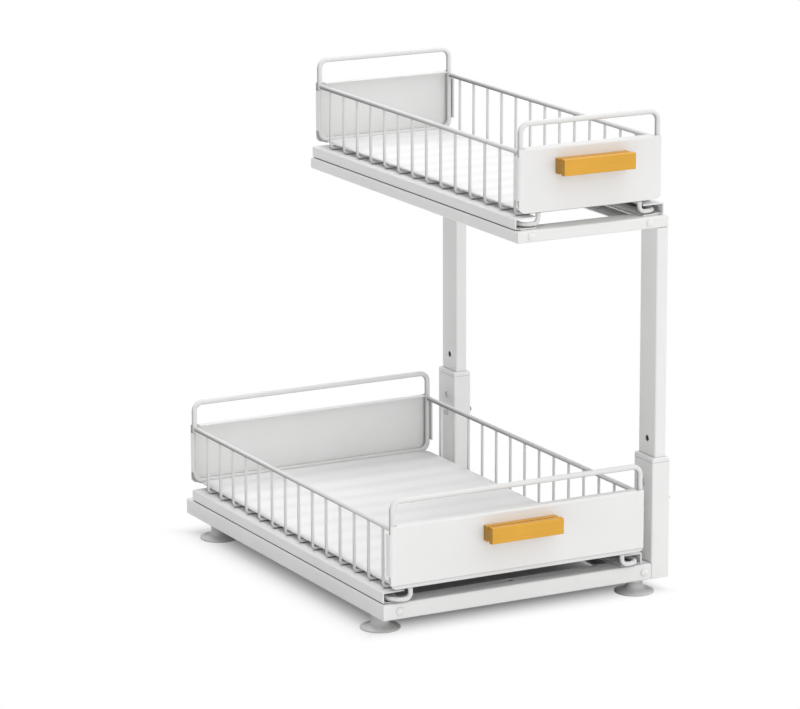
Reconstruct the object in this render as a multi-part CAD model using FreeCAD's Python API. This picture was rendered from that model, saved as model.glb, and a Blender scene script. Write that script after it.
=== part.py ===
import FreeCAD, Part
import math
import os

# Two-tier pull-out organizer for a sink cabinet, in millimetres, +Z up.
# Dimensions are counted from the base frame's left front bottom corner,
# and every piece is moved by one shift at the end, so that the origin is
# the middle of the footprint on the cabinet floor.

# Base frame of folded steel channels
base_w = 300.0
base_d = 440.0
base_h = 16.5
sheet = 1.2
fold_r = 1.8
bar_top = 23.0
bar_bottom = 12.0
beam_bottom = 26.0
left_beam_top = 28.0
right_beam_top = 36.0
floor_hole_d = 7.0
floor_hole_y = 18.0

# Telescopic posts on the right side
post_w = 20.0
post_d = 35.0
post_h = 118.5
post_wall = 1.2
post_corner = 0.9
collar_lip = 4.8
collar_sleeve = 17.0
inner_w = 12.5
inner_d = 31.0
inner_bottom = 64.0
bolt_z = 77.0
spare_hole_z = 96.0
inner_hole_z = 140.0
spare_hole_d = 6.2
bolt_d = 5.0
head_d = 7.6
head_h = 2.8
nut_h = 10.0
nut_flats = 8.0

# Upper frame, flush with the inner posts
upper_x0 = 147.5
upper_z0 = 353.9
upper_h = 11.7

# Rails that guide the basket runners
rail_h = 11.8
rail_w = 23.6
rail_sheet = 1.5
rail_set_in = 1.2
rail_gap_h = 0.9
rail_gap_d = 6.0
base_right_rail_x = 290.4

# Suction feet
foot_h = 15.5
foot_r = 20.0
stem_r = 10.0
foot_sides = 20
foot_left_in = 13.0
foot_left_y = (31.0, 389.0)
foot_right_in = 9.0
foot_right_y = (18.0, 422.0)

# Wires of both baskets
loop_d = 5.5
loop_bend = 9.0
top_wire_d = 4.8
floor_wire_d = 2.4
cross_d = 3.0
cross_bend = 3.5
cross_gap = 0.45
cross_count = 14
runner_d = 5.0
runner_gap = 0.3
runner_turn = 12.0
runner_rise = 5.5
runner_leg = 26.6
runner_line = 7.0
long_wire_share = 0.5

# Heights of both baskets above the frame that carries them
loop_low = 17.8
loop_high = 102.4
top_wire_up = 74.9
panel_low = 16.0
panel_high = 78.8
handle_up = 59.8

# Pressed end panels, floor liner and handle
panel_t = 1.0
panel_flange = 9.0
panel_bend = 3.0
panel_seat = 0.1
panel_corner = 8.0
panel_fold = 2.4
panel_relief = 8.0
liner_t = 1.0
liner_in = 3.2
liner_gap = 4.6
liner_corner = 8.0
handle_l = 79.2
handle_h = 16.0
handle_out = 17.0
handle_screw_x = 25.0

# Basket positions: half width to the wire, front and rear loop, first cross wire, pitch
lower_half = 137.7
lower_y = (-3.1, 435.4)
lower_wires = (15.3, 29.87)
upper_half = 76.3
upper_y = (11.4, 431.9)
upper_wires = (21.2, 29.7)

# Pan head screws of the frames
screw_d = 4.0
screw_head_d = 8.5
screw_head_h = 2.2
screw_len = 8.0
base_screw_x = (18.2, 291.5)
upper_screw_x = (162.8, 295.5)

post_x = base_w
post_mid = post_x + post_w / 2
inner_x = post_mid - inner_w / 2
inner_y = (post_d - inner_d) / 2
upper_x1 = inner_x + inner_w
upper_y0 = inner_y
upper_y1 = base_d - inner_y
upper_deck = upper_z0 + upper_h
lower_mid = (rail_set_in + base_right_rail_x) / 2
upper_mid = (upper_x0 + upper_x1) / 2

box_x = (
    foot_left_in - foot_r * math.sqrt(math.pi / (foot_sides * math.tan(math.pi / foot_sides))),
    post_x + post_w + nut_h,
)
box_y = (
    lower_y[0] - loop_d / 2 - panel_seat - panel_t - handle_out,
    base_d + screw_head_h,
)
shift = FreeCAD.Vector(-sum(box_x) / 2, -sum(box_y) / 2, foot_h)

X = FreeCAD.Vector(1, 0, 0)
Y = FreeCAD.Vector(0, 1, 0)
Z = FreeCAD.Vector(0, 0, 1)


def vec(x, y, z):
    return FreeCAD.Vector(x, y, z)


def save(node, shapes):
    """Move a piece, or a group of equal pieces, to the part's origin and write it."""
    group = shapes if isinstance(shapes, list) else [shapes]
    solids = []
    for shape in group:
        if len(shape.Solids) != 1 or not shape.isValid():
            raise RuntimeError(f"{node} is not one valid solid")
        moved = shape.Solids[0].copy()
        moved.translate(shift)
        solids.append(moved)
    result = solids[0] if len(solids) == 1 else Part.makeCompound(solids)
    result.exportStep(f"parts/{node}.step")


def mirrored(shape, point, normal):
    return shape.mirror(point, normal)


def corner(before, point, after, radius):
    """Start, middle and end of the arc that rounds one corner of an outline."""
    a = (before - point).normalize()
    b = (after - point).normalize()
    half = a.getAngle(b) / 2
    reach = radius / math.tan(half)
    inward = (a + b).normalize()
    centre = point + inward * (radius / math.sin(half))
    return point + a * reach, centre - inward * radius, point + b * reach, centre


def outline(points, radii):
    """Closed wire through the points, each corner rounded by its radius."""
    count = len(points)
    stops = []
    edges = []
    for i, point in enumerate(points):
        if radii[i] > 0:
            start, mid, end, _ = corner(points[i - 1], point, points[(i + 1) % count], radii[i])
            edges.append(Part.Arc(start, mid, end).toShape())
            stops.append((start, end))
        else:
            stops.append((point, point))
    for i in range(count):
        start = stops[i][1]
        end = stops[(i + 1) % count][0]
        if start.distanceToPoint(end) > 1e-6:
            edges.append(Part.LineSegment(start, end).toShape())
    return Part.Wire(Part.__sortEdges__(edges))


def prism(points, radii, travel):
    return Part.Face(outline(points, radii)).extrude(travel)


def plate(x, y, z, radius):
    """Flat block over three ranges with rounded upright edges."""
    points = [
        vec(x[0], y[0], z[0]), vec(x[1], y[0], z[0]),
        vec(x[1], y[1], z[0]), vec(x[0], y[1], z[0]),
    ]
    return prism(points, [radius] * 4, vec(0, 0, z[1] - z[0]))


def block(x, y, z):
    return Part.makeBox(x[1] - x[0], y[1] - y[0], z[1] - z[0], vec(x[0], y[0], z[0]))


def trimmed(x, y, z, cut):
    """Outline points of a rectangle with its corners cut."""
    corners = [(x[0], y[0]), (x[1], y[0]), (x[1], y[1]), (x[0], y[1])]
    steps = [(1, 1), (-1, 1), (-1, -1), (1, -1)]
    points = []
    for k, ((cx, cy), (sx, sy)) in enumerate(zip(corners, steps)):
        pair = [vec(cx, cy + sy * cut, z), vec(cx + sx * cut, cy, z)]
        points += pair if k % 2 == 0 else pair[::-1]
    return points


def drill(centre, direction, diameter, length):
    """Cylinder that is centred on a point along its axis."""
    return Part.makeCylinder(diameter / 2, length, centre - direction * (length / 2), direction)


def ring(side, up, radius, sides):
    """Offsets of a many-sided section with the round wire's area, flats across the axes."""
    far = radius * math.sqrt(2 * math.pi / (sides * math.sin(2 * math.pi / sides)))
    offsets = []
    for k in range(sides):
        angle = 2 * math.pi * (k + 0.5) / sides
        offsets.append(side * (far * math.cos(angle)) + up * (far * math.sin(angle)))
    return offsets


def flat_share(sides):
    """Distance from a section's middle to its flats, as a share of the wire's radius."""
    return math.sqrt(math.pi / (sides * math.tan(math.pi / sides)))


def skin(rings, closed=False):
    """Solid through rings of matching points, with flat faces between neighbours."""
    count = len(rings[0])
    pairs = list(zip(rings, rings[1:] + rings[:1])) if closed else list(zip(rings, rings[1:]))
    faces = []
    for a, b in pairs:
        for k in range(count):
            n = (k + 1) % count
            faces.append(Part.Face(Part.makePolygon([a[k], a[n], b[n], b[k], a[k]])))
    if not closed:
        for cap in (rings[0], rings[-1]):
            faces.append(Part.Face(Part.makePolygon(cap + cap[:1])))
    shell = Part.makeShell(faces)
    shell.sewShape()
    solid = Part.makeSolid(shell)
    return solid if solid.Volume > 0 else solid.reversed()


def turned(centre, axis, profile, sides):
    """Many-sided turned body through rings of (distance along the axis, radius)."""
    side = Z if abs(axis.dot(Z)) < 0.5 else X
    up = axis.cross(side)
    rings = []
    for along, radius in profile:
        rings.append([centre + axis * along + offset for offset in ring(side, up, radius, sides)])
    return skin(rings)


def bar_of(start, axis, radius, length, sides):
    return turned(start, axis, [(0.0, radius), (length, radius)], sides)


def channel(corner_point, inward, along, size, t):
    """Folded C channel: web on the outside, a top and a bottom flange inwards."""
    length, height, top, bottom = size
    flat = [
        (0, 0), (bottom, 0), (bottom, t), (t, t),
        (t, height - t), (top, height - t), (top, height), (0, height),
    ]
    radii = [fold_r, 0, 0, 0, 0, 0, 0, fold_r]
    points = [corner_point + inward * u + Z * w for u, w in flat]
    return prism(points, radii, along * length)


def frame_pieces(x, y, z, tops, hole, screws):
    """Four mitred channels of a frame and the screws through their corners."""
    height = z[1] - z[0]
    mid_y = (y[0] + y[1]) / 2
    mid_z = (z[0] + z[1]) / 2
    far = 80.0
    tab = (sheet, sheet * 2)
    bar = channel(vec(x[0], y[0], z[0]), Y, X, (x[1] - x[0], height, bar_top, bar_bottom), sheet)
    ends = [(x[0], 1), (x[1], -1)]
    beams = []
    for (edge, side), top in zip(ends, tops):
        tip = vec(edge - side * far, y[0] - far, z[0] - 1)
        reach = vec(edge + side * far, y[0] + far, z[0] - 1)
        wedge = [tip, reach, vec(edge - side * far, y[0] + far, z[0] - 1)]
        bar = bar.cut(prism(wedge, [0] * 3, Z * (height + 2)))
        beam = channel(
            vec(edge, y[0], z[0]), X * side, Y, (y[1] - y[0], height, top, beam_bottom), sheet
        )
        # The beam's flanges stop along the mitre and then along the bar's rear edge
        for depth, low, high in ((bar_top, mid_z, z[1] + 1), (bar_bottom, z[0] - 1, mid_z)):
            foot = [
                vec(edge - side * far, y[0] - far, low),
                vec(edge + side * depth, y[0] + depth, low),
                vec(edge + side * far, y[0] + depth, low),
                vec(edge + side * far, y[0] - far, low),
            ]
            notch = prism(foot, [0] * 4, Z * (high - low))
            beam = beam.cut(notch)
            beam = beam.cut(mirrored(notch, vec(0, mid_y, 0), Y))
        inner = sorted((edge + side * sheet, edge + side * beam_bottom))
        ear = block(inner, (y[0] + tab[0], y[0] + tab[1]), (z[0] + 2.2, z[1] - 2.2))
        beam = beam.fuse([ear, mirrored(ear, vec(0, mid_y, 0), Y)])
        beams.append(beam.removeSplitter())
    heads = []
    for screw_x in screws:
        centre = vec(screw_x, y[0], mid_z)
        bore = bar_of(centre - Y * 6, Y, screw_d / 2 + 0.15, 12, 6)
        bar = bar.cut(bore)
        bores = [bore, mirrored(bore, vec(0, mid_y, 0), Y)]
        beams = [beam.cut(bores) for beam in beams]
        head = pan_screw(centre)
        heads += [head, mirrored(head, vec(0, mid_y, 0), Y)]
    if hole:
        bar = bar.cut(drill(vec((x[0] + x[1]) / 2, y[0] + floor_hole_y, z[1]), Z, floor_hole_d, 6))
    return bar, mirrored(bar, vec(0, mid_y, 0), Y), beams[0], beams[1], heads


def pan_screw(centre):
    """Screw along Y with a domed head in front of the sheet."""
    r = screw_head_d / 2
    dome = [(0.0, r), (-0.6, r), (-1.7, r * 0.72), (-screw_head_h, r * 0.30)]
    return turned(centre, Y, dome, 8).fuse(bar_of(centre, Y, screw_d / 2, screw_len, 6))


def rail(wall_x, side, y, z0):
    """C rail on a beam, open towards the middle, with a shadow gap under its outer edge."""
    size = (y[1] - y[0], rail_h, rail_w, rail_w)
    section = channel(vec(wall_x, y[0], z0), X * side, Y, size, rail_sheet)
    gap_x = sorted((wall_x - side, wall_x + side * rail_gap_d))
    return section.cut(block(gap_x, y, (z0 - 1, z0 + rail_gap_h)))


def tube(x, y, z, wall):
    """Rectangular tube with trimmed outer corners."""
    outer = skin([trimmed(x, y, level, post_corner) for level in z])
    return outer.cut(block((x[0] + wall, x[1] - wall), (y[0] + wall, y[1] - wall), z))


def suction_foot(x, y):
    """Soft bell with a hollow cup below and a blind hole for its bolt on top."""
    floor = vec(x, y, -foot_h)
    bell = [
        (0, foot_r), (1.2, foot_r), (3.0, stem_r + 5.2),
        (7.0, stem_r + 0.9), (9.0, stem_r), (foot_h, stem_r),
    ]
    cup = [(0.0, foot_r - 1.4), (3.4, 10.5), (5.0, 2.0)]
    foot = turned(floor, Z, bell, foot_sides).cut(turned(floor, Z, cup, foot_sides))
    return foot.cut(bar_of(vec(x, y, -6.5), Z, bolt_d / 2, 6.5, 8))


def foot_bolt(x, y):
    """Flat bolt from inside the channel down into the foot."""
    head = bar_of(vec(x, y, sheet), Z, 4.5, 2.4, 12)
    shank = bar_of(vec(x, y, -6.5), Z, bolt_d / 2, 6.5 + sheet, 8)
    return head.fuse(shank)


def collar(y0):
    """Plastic bush: a bevelled lip on the outer post and a sleeve down inside it."""
    clear = 0.1
    bevel = 0.8
    x = (post_x, post_x + post_w)
    y = (y0, y0 + post_d)
    top = post_h + collar_lip
    inset = [(a + bevel, b - bevel) for a, b in (x, y)]
    rings = [
        trimmed(x, y, post_h, post_corner),
        trimmed(x, y, top - bevel, post_corner),
        trimmed(inset[0], inset[1], top, post_corner),
    ]
    lip = skin(rings)
    room = post_wall + 0.05
    sleeve_x = (x[0] + room, x[1] - room)
    sleeve_y = (y[0] + room, y[1] - room)
    sleeve = block(sleeve_x, sleeve_y, (post_h - collar_sleeve, post_h))
    bore_x = (inner_x - clear, inner_x + inner_w + clear)
    bore_y = (y0 + inner_y - clear, y0 + inner_y + inner_d + clear)
    bore = block(bore_x, bore_y, (post_h - collar_sleeve, top))
    return lip.fuse(sleeve).cut(bore).removeSplitter()


def post_bolt(y):
    """Mushroom bolt through both posts, head on the basket's side."""
    centre = vec(post_x, y, bolt_z)
    r = head_d / 2
    dome = [(0.0, r), (-0.9, r * 0.97), (-2.1, r * 0.70), (-head_h, r * 0.30)]
    return turned(centre, X, dome, 12).fuse(bar_of(centre, X, bolt_d / 2, post_w + 6.0, 8))


def cap_nut(y):
    """Hexagon nut with a rounded cap, on the outer side of the post."""
    centre = vec(post_x + post_w, y, bolt_z)
    r = nut_flats / 2
    body = bar_of(centre, X, r, 4.5, 6)
    cap_r = r - 0.3
    dome = [(4.5, cap_r), (6.6, cap_r), (8.9, cap_r * 0.74), (nut_h, cap_r * 0.28)]
    nut = body.fuse(turned(centre, X, dome, 12))
    return nut.cut(bar_of(centre, X, bolt_d / 2, 6.2, 8))


def wire_path(points, bends, steps, closed):
    """Corner points of a wire whose bends are spread over equal short turns."""
    path = []
    count = len(points)
    for i, point in enumerate(points):
        if not closed and i in (0, count - 1):
            path.append(point)
            continue
        before = points[i - 1]
        after = points[(i + 1) % count]
        start, _, _, centre = corner(before, point, after, bends[i])
        heading = (point - before).normalize()
        turn = heading.getAngle((after - point).normalize())
        out = (start - centre).normalize()
        reach = bends[i] / math.cos(turn / steps / 2)
        for k in range(steps):
            angle = turn * (k + 0.5) / steps
            path.append(centre + (out * math.cos(angle) + heading * math.sin(angle)) * reach)
    return path


def bent_wire(points, bends, radius, sides, steps, closed=False):
    """Wire with a many-sided section, mitred at every short turn of its bends."""
    path = wire_path(points, bends, steps, closed)
    count = len(path)
    heading = (path[1] - path[0]).normalize()
    side = Y if abs(heading.dot(Y)) < 0.5 else X
    up = heading.cross(side)
    rings = []
    for i, point in enumerate(path):
        away = path[(i + 1) % count] - point
        into = point - path[i - 1]
        if not closed and i == 0:
            into = path[1] - point
        if not closed and i == count - 1:
            away = point - path[i - 1]
        into = into.normalize()
        away = away.normalize()
        if closed and i == 0:
            # The section stands square to the run that leads to the first point
            up = into.cross(side)
        mitre = (into + away).normalize()
        lean = into.dot(mitre)
        section = ring(side, up, radius, sides)
        rings.append([point + o - into * (o.dot(mitre) / lean) for o in section])
        turn = FreeCAD.Rotation(into, away)
        side = turn.multVec(side)
        up = turn.multVec(up)
    return skin(rings, closed)


def end_panel(mid, half, loop_y, deck):
    """Pressed panel in front of the front loop: side flanges round the loop, folded top edge."""
    t = panel_t
    wide = half + loop_d / 2 + panel_seat + t
    y0 = loop_y - loop_d / 2 - panel_seat - t
    y1 = y0 + panel_flange
    low = deck + panel_low
    high = deck + panel_high
    relief = high - panel_relief
    plan = [
        vec(mid - wide, y1, low), vec(mid - wide, y0, low),
        vec(mid + wide, y0, low), vec(mid + wide, y1, low),
        vec(mid + wide - t, y1, low), vec(mid + wide - t, y0 + t, low),
        vec(mid - wide + t, y0 + t, low), vec(mid - wide + t, y1, low),
    ]
    inner = panel_bend - t
    radii = [0, panel_bend, panel_bend, 0, 0, inner, inner, 0]
    pan = prism(plan, radii, Z * (high - low))
    # The side flanges stop below the folded edge and above the loop's lower bends
    reach = (mid - wide - 1, mid + wide + 1)
    behind = (y0 + t, y1 + 1)
    pan = pan.cut(block(reach, behind, (relief, high + 1)))
    pan = pan.cut(block(reach, behind, (low - 1, deck + loop_low + loop_bend + 2.0)))
    span = half - loop_d / 2 - 1.8
    pan = pan.cut(block((mid - span, mid + span), (y0 - 1, y1), (relief, high + 1)))
    side = [
        vec(mid - span, y0, relief), vec(mid - span, y0, high), vec(mid - span, y1, high),
        vec(mid - span, y1, high - t), vec(mid - span, y0 + t, high - t), vec(mid - span, y0 + t, relief),
    ]
    radii = [0, panel_fold, 0, 0, panel_fold - t, 0]
    pan = pan.fuse(prism(side, radii, X * (2 * span)))
    # Round lower corners
    for sign in (-1, 1):
        tip = mid + sign * wide
        point = vec(tip, y0 - 1, low)
        a, m, b, _ = corner(vec(tip, y0 - 1, high), point, vec(mid, y0 - 1, low), panel_corner)
        edges = [
            Part.Arc(a, m, b).toShape(),
            Part.LineSegment(b, point).toShape(),
            Part.LineSegment(point, a).toShape(),
        ]
        pan = pan.cut(Part.Face(Part.Wire(Part.__sortEdges__(edges))).extrude(Y * 8))
    return pan.removeSplitter()


def handle(mid, face_y, z):
    """Grip with an H section: front plate, web and rear plate with two grooves."""
    h = handle_h / 2
    web = 4.4
    grooves = (face_y - handle_out + 6.4, face_y - 6.8)
    start = mid - handle_l / 2
    flat = [
        (face_y, -h + 0.5), (face_y, h - 0.5), (grooves[1], h - 0.5), (grooves[1], web),
        (grooves[0], web), (grooves[0], h), (face_y - handle_out, h), (face_y - handle_out, -h),
        (grooves[0], -h), (grooves[0], -web), (grooves[1], -web), (grooves[1], -h + 0.5),
    ]
    points = [vec(start, y, z + w) for y, w in flat]
    radii = [0, 0, 0, 0, 0, 0, 0.9, 0.9, 0, 0, 0, 0]
    grip = prism(points, radii, X * handle_l)
    for sign in (-1, 1):
        seat = vec(mid + sign * handle_screw_x, face_y, z)
        grip = grip.cut(bar_of(seat, -Y, screw_d / 2, 6.0, 8))
    return grip


def handle_screw(x, face_y, z):
    """Screw from the basket's inside through the panel into the grip."""
    inside = face_y + panel_t
    head = bar_of(vec(x, inside, z), Y, 3.6, 2.2, 12)
    shank = bar_of(vec(x, inside, z), -Y, screw_d / 2, 6.0 + panel_t, 8)
    return head.fuse(shank)


def runner(side, wall_x, loop_y, deck):
    """Wire that slides in a rail and turns in and up to the loops at both ends."""
    z = deck + rail_sheet + runner_gap + runner_d / 2
    top = deck + loop_low - loop_d / 2 * flat_share(12)
    line_x = wall_x + side * runner_line
    leg_x = wall_x + side * runner_leg
    points = [
        vec(leg_x, loop_y[0], top), vec(leg_x, loop_y[0], z), vec(line_x, loop_y[0], z),
        vec(line_x, loop_y[1], z), vec(leg_x, loop_y[1], z), vec(leg_x, loop_y[1], top),
    ]
    bends = [0, runner_rise, runner_turn, runner_turn, runner_rise, 0]
    return bent_wire(points, bends, runner_d / 2, 8, 3)


def basket(name, mid, half, loop_y, wires, deck, walls):
    """All pieces of one basket, from its frame's top face upwards."""
    low = deck + loop_low
    high = deck + loop_high
    mid_y = (loop_y[0] + loop_y[1]) / 2
    loops = []
    for y in loop_y:
        points = [
            vec(mid - half, y, low), vec(mid + half, y, low),
            vec(mid + half, y, high), vec(mid - half, y, high),
        ]
        loops.append(bent_wire(points, [loop_bend] * 4, loop_d / 2, 12, 4, True))
    save(f"{name}_front_loop", loops[0])
    save(f"{name}_rear_loop", loops[1])

    # Straight wires between the loops, butted against them
    start_y = loop_y[0] + loop_d / 2 * flat_share(12)
    span = loop_y[1] - loop_y[0] - loop_d * flat_share(12)
    top_z = deck + top_wire_up
    for word, sign in (("left", -1), ("right", 1)):
        straight = bar_of(vec(mid + sign * half, start_y, top_z), Y, top_wire_d / 2, span, 12)
        save(f"{name}_{word}_top_wire", straight)

    # Cross wires just over the rails, floor wires on them
    run_z = deck + rail_h + cross_gap + cross_d / 2 * flat_share(8)
    floor_z = run_z + (cross_d + floor_wire_d) / 2 * flat_share(8)
    floor_wires = []
    for sign in (-1, 1):
        start = vec(mid + sign * half * long_wire_share, start_y, floor_z)
        floor_wires.append(bar_of(start, Y, floor_wire_d / 2, span, 8))
    save(f"{name}_floor_wires", floor_wires)
    uprights_top = top_z - top_wire_d / 2 * flat_share(12)
    bows = []
    for k in range(cross_count):
        y = wires[0] + k * wires[1]
        points = [
            vec(mid - half, y, uprights_top), vec(mid - half, y, run_z),
            vec(mid + half, y, run_z), vec(mid + half, y, uprights_top),
        ]
        bows.append(bent_wire(points, [0, cross_bend, cross_bend, 0], cross_d / 2, 8, 2))
    save(f"{name}_cross_wires", bows)

    for word, side, wall_x in (("left", 1, walls[0]), ("right", -1, walls[1])):
        save(f"{name}_{word}_runner", runner(side, wall_x, loop_y, deck))

    pan = end_panel(mid, half, loop_y[0], deck)
    rear_pan = mirrored(pan, vec(0, mid_y, 0), Y)
    face_y = loop_y[0] - loop_d / 2 - panel_seat - panel_t
    grip_z = deck + handle_up
    screws = []
    for sign in (-1, 1):
        screw_x = mid + sign * handle_screw_x
        pan = pan.cut(bar_of(vec(screw_x, face_y - 3, grip_z), Y, screw_d / 2 + 0.15, 6, 8))
        screws.append(handle_screw(screw_x, face_y, grip_z))
    save(f"{name}_front_panel", pan)
    save(f"{name}_rear_panel", rear_pan)
    save(f"{name}_handle", handle(mid, face_y, grip_z))
    save(f"{name}_handle_screws", screws)

    liner_z = floor_z + floor_wire_d / 2 * flat_share(8)
    liner_x = (mid - half + liner_in, mid + half - liner_in)
    liner_y = (loop_y[0] + liner_gap, loop_y[1] - liner_gap)
    save(f"{name}_liner", plate(liner_x, liner_y, (liner_z, liner_z + liner_t), liner_corner))


def posts():
    """Outer tubes with collars, inner tubes, and the bolts that lock the height."""
    bolts = []
    nuts = []
    for word, y0 in (("front", 0.0), ("rear", base_d - post_d)):
        y_mid = y0 + post_d / 2
        outer = tube((post_x, post_x + post_w), (y0, y0 + post_d), (0, post_h), post_wall)
        outer = outer.cut(bar_of(vec(post_x - 2, y_mid, bolt_z), X, bolt_d / 2 + 0.15, post_w + 4, 8))
        outer = outer.cut(bar_of(vec(post_x - 2, y_mid, spare_hole_z), X, spare_hole_d / 2, post_w + 4, 16))
        save(f"{word}_outer_post", outer)
        save(f"{word}_post_collar", collar(y0))
        inner = tube(
            (inner_x, inner_x + inner_w), (y0 + inner_y, y0 + inner_y + inner_d),
            (inner_bottom, upper_z0), post_wall,
        )
        inner = inner.cut(bar_of(vec(post_x - 2, y_mid, bolt_z), X, bolt_d / 2 + 0.15, post_w + 4, 8))
        inner = inner.cut(bar_of(vec(post_x - 2, y_mid, inner_hole_z), X, spare_hole_d / 2, post_w + 4, 16))
        save(f"{word}_inner_post", inner)
        bolts.append(post_bolt(y_mid))
        nuts.append(cap_nut(y_mid))
    save("post_bolts", bolts)
    save("post_cap_nuts", nuts)


def main():
    os.makedirs("parts", exist_ok=True)

    base = frame_pieces(
        (0, base_w), (0, base_d), (0, base_h),
        (left_beam_top, right_beam_top), True, base_screw_x,
    )
    front, rear, left, right, screws = base
    feet = (("left", foot_left_in, foot_left_y), ("right", base_w - foot_right_in, foot_right_y))
    bolts = []
    for side, x, places in feet:
        for y, end in zip(places, ("front", "rear")):
            save(f"foot_{end}_{side}", suction_foot(x, y))
            bolts.append(foot_bolt(x, y))
            bore = bar_of(vec(x, y, -3), Z, bolt_d / 2 + 0.15, 6, 8)
            left = left.cut(bore)
            right = right.cut(bore)
    save("base_front_bar", front)
    save("base_rear_bar", rear)
    save("base_left_beam", left)
    save("base_right_beam", right)
    save("base_screws", screws)
    save("foot_bolts", bolts)
    lower_rail_y = (3.0, 428.0)
    save("base_left_rail", rail(rail_set_in, 1, lower_rail_y, base_h))
    save("base_right_rail", rail(base_right_rail_x, -1, lower_rail_y, base_h))

    posts()

    upper = frame_pieces(
        (upper_x0, upper_x1), (upper_y0, upper_y1), (upper_z0, upper_deck),
        (left_beam_top, left_beam_top), False, upper_screw_x,
    )
    front, rear, left, right, screws = upper
    save("upper_front_bar", front)
    save("upper_rear_bar", rear)
    save("upper_left_beam", left)
    save("upper_right_beam", right)
    save("upper_screws", screws)
    upper_rail_y = (8.8, 436.0)
    upper_walls = (upper_x0 + rail_set_in, upper_x1 - rail_set_in)
    save("upper_left_rail", rail(upper_walls[0], 1, upper_rail_y, upper_deck))
    save("upper_right_rail", rail(upper_walls[1], -1, upper_rail_y, upper_deck))

    lower_walls = (rail_set_in, base_right_rail_x)
    basket("lower_basket", lower_mid, lower_half, lower_y, lower_wires, base_h, lower_walls)
    basket("upper_basket", upper_mid, upper_half, upper_y, upper_wires, upper_deck, upper_walls)


main()
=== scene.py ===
import math

import bmesh
import bpy
from mathutils import Matrix, Vector


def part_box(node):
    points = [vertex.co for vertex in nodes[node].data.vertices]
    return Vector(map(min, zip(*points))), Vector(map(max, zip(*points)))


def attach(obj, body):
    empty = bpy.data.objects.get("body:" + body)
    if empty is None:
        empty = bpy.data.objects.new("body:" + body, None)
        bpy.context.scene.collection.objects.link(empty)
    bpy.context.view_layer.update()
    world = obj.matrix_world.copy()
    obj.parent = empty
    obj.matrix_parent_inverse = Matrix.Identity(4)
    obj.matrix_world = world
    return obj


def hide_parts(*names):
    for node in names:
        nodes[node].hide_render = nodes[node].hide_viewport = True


bl_info = {
    "name": "Under sink organizer",
    "version": (1, 0, 0),
    "blender": (4, 5, 0),
    "location": "3D View > Sidebar > Organizer",
    "description": "Finishes a two-tier pull-out organizer: wires, feet, fasteners, liners and coats",
    "category": "Object",
}

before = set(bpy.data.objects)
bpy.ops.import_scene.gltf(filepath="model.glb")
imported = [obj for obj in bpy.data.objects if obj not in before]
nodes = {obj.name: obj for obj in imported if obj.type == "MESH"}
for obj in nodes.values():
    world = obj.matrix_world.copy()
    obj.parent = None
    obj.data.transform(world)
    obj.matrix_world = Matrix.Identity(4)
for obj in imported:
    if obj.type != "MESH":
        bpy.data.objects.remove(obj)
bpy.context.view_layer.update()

BASKETS = ("lower_basket", "upper_basket")

# Facets round each wire, and steps in each of its bends
LOOP_SIDES, LOOP_STEPS = 20, 12
TOP_SIDES, FLOOR_SIDES, STRAIGHT_STEPS = 16, 12, 1
CROSS_SIDES, CROSS_STEPS = 12, 7
RUNNER_SIDES, RUNNER_STEPS = 16, 8

# Edges that bend by more than these angles, in radians, stay sharp
SHARP_WIRE, SHARP_TURNED, SHARP_SHEET, SHARP_BEAD = 0.7, 0.6, 0.62, 3.0

# Camera of the photograph, fitted to its straight edges; the focal length is in pixels of that frame
PICTURE_WIDTH, FOCAL_PIXELS = 800.0, 4215.85
SENSOR_WIDTH = 36.0
CAMERA_PLACE = (-1.960919, -3.627091, 1.206814)
CAMERA_RIGHT = (0.882477, -0.470346, -0.003065)
CAMERA_BACK = (-0.456706, -0.858406, 0.233578)
NEAR_CLIP, FAR_CLIP = 0.1, 60.0


# Sizes and colours a user would change

class OrganizerSizes(bpy.types.PropertyGroup):
    """Sizes of the finished pieces that the solids only hint at."""
    loop_wire: bpy.props.FloatProperty(
        name="Loop wire", description="Diameter of the end loops",
        default=0.00543, unit="LENGTH")
    top_wire: bpy.props.FloatProperty(
        name="Top wire", description="Diameter of the side top wires",
        default=0.00474, unit="LENGTH")
    floor_wire: bpy.props.FloatProperty(
        name="Floor wire", description="Diameter of the two long wires under the liner",
        default=0.00234, unit="LENGTH")
    cross_wire: bpy.props.FloatProperty(
        name="Cross wire", description="Diameter of the thin U wires",
        default=0.00292, unit="LENGTH")
    runner_wire: bpy.props.FloatProperty(
        name="Runner wire", description="Diameter of the wires that slide in the rails",
        default=0.00487, unit="LENGTH")
    loop_bend: bpy.props.FloatProperty(
        name="Loop bend", description="Bend radius at the corners of the end loops",
        default=0.009, unit="LENGTH")
    cross_bend: bpy.props.FloatProperty(
        name="Cross wire bend", description="Bend radius of the thin U wires",
        default=0.0035, unit="LENGTH")
    runner_turn: bpy.props.FloatProperty(
        name="Runner turn", description="Bend radius where a runner turns inwards",
        default=0.012, unit="LENGTH")
    runner_rise: bpy.props.FloatProperty(
        name="Runner rise", description="Bend radius where a runner rises to the loop",
        default=0.0055, unit="LENGTH")
    cross_count: bpy.props.IntProperty(
        name="Cross wires", description="Number of U wires in each basket", default=14)
    liner_wave: bpy.props.FloatProperty(
        name="Liner wave", description="Height of the soft ribs pressed across the floor sheet",
        default=0.0006, unit="LENGTH")
    liner_pitch: bpy.props.FloatProperty(
        name="Liner pitch", description="Distance from one rib of the floor sheet to the next",
        default=0.036, unit="LENGTH")
    edge_soften: bpy.props.FloatProperty(
        name="Edge softening", description="Width of the coated edge round on sheet pieces",
        default=0.0005, unit="LENGTH")


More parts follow.
